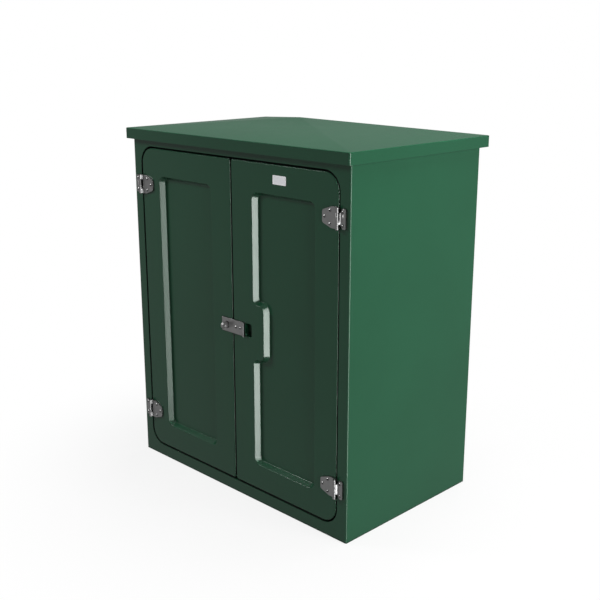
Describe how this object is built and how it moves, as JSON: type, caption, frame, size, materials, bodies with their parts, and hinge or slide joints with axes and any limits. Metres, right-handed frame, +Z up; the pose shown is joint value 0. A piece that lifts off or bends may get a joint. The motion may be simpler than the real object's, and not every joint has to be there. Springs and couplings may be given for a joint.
{
  "type": "roadside utility cabinet",
  "caption": "Free-standing moulded roadside cabinet with recessed hinged doors, padlock hasp, shoot bolts, plywood backboard and a hipped roof cap on a flanged base.",
  "frame": {"origin": "centre of the base footprint, on the underside of the base flange", "axes": "+Z up, +X to the right of someone facing the doors, +Y to the back; the doors face -Y"},
  "size_m": [1.028, 0.658, 1.2225],
  "materials": {
    "green_laminate": "dark green gel coat on glass-fibre laminate, satin gloss",
    "stainless_steel": "brushed stainless steel",
    "fastener_steel": "plain stainless steel",
    "seal_rubber": "matt black rubber",
    "plywood": "sanded birch-faced plywood",
    "softwood": "planed softwood",
    "label_white": "bare white plate"
  },
  "bodies": {
    "cabinet": {"body_shell": "green_laminate", "roof": "green_laminate", "roof_bolts": "fastener_steel", "door_seal": "seal_rubber", "top_keep": "stainless_steel", "bottom_keep": "stainless_steel", "backboard": "plywood", "backboard_battens": "softwood", "backboard_screws": "fastener_steel", "upper_left_frame_leaf": "stainless_steel", "lower_left_frame_leaf": "stainless_steel", "upper_right_frame_leaf": "stainless_steel", "lower_right_frame_leaf": "stainless_steel", "upper_left_hinge_pin": "stainless_steel", "lower_left_hinge_pin": "stainless_steel", "upper_right_hinge_pin": "stainless_steel", "lower_right_hinge_pin": "stainless_steel", "frame_leaf_bolts": "fastener_steel", "frame_leaf_nuts": "fastener_steel"},
    "left_leaf": {"left_door": "green_laminate", "upper_left_door_leaf": "stainless_steel", "lower_left_door_leaf": "stainless_steel", "left_leaf_bolts": "fastener_steel", "left_leaf_nuts": "fastener_steel", "padlock_eye": "stainless_steel", "padlock_eye_bolts": "fastener_steel", "padlock_eye_nuts": "fastener_steel", "meeting_strip": "seal_rubber", "top_bolt_guide": "stainless_steel", "bottom_bolt_guide": "stainless_steel"},
    "right_leaf": {"right_door": "green_laminate", "upper_right_door_leaf": "stainless_steel", "lower_right_door_leaf": "stainless_steel", "right_leaf_bolts": "fastener_steel", "right_leaf_nuts": "fastener_steel", "hasp_plate": "stainless_steel", "hasp_bolts": "fastener_steel", "hasp_nuts": "fastener_steel", "label_plate": "label_white"},
    "top_bolt": {"top_shoot_bolt": "stainless_steel"},
    "bottom_bolt": {"bottom_shoot_bolt": "stainless_steel"}
  },
  "joints": [
    {"name": "right_door_hinge", "type": "hinge", "parent": "cabinet", "child": "right_leaf", "pos_m": [0.4585, -0.31, 0.58], "axis": [0, 0, 1], "range_deg": [0, 170]},
    {"name": "left_door_hinge", "type": "hinge", "parent": "cabinet", "child": "left_leaf", "pos_m": [-0.4585, -0.31, 0.58], "axis": [0, 0, -1], "range_deg": [0, 170]},
    {"name": "top_bolt_slide", "type": "slide", "parent": "left_leaf", "child": "top_bolt", "axis": [0, 0, 1], "range_m": [0, 0.028]},
    {"name": "bottom_bolt_slide", "type": "slide", "parent": "left_leaf", "child": "bottom_bolt", "axis": [0, 0, -1], "range_m": [0, 0.028]}
  ]
}
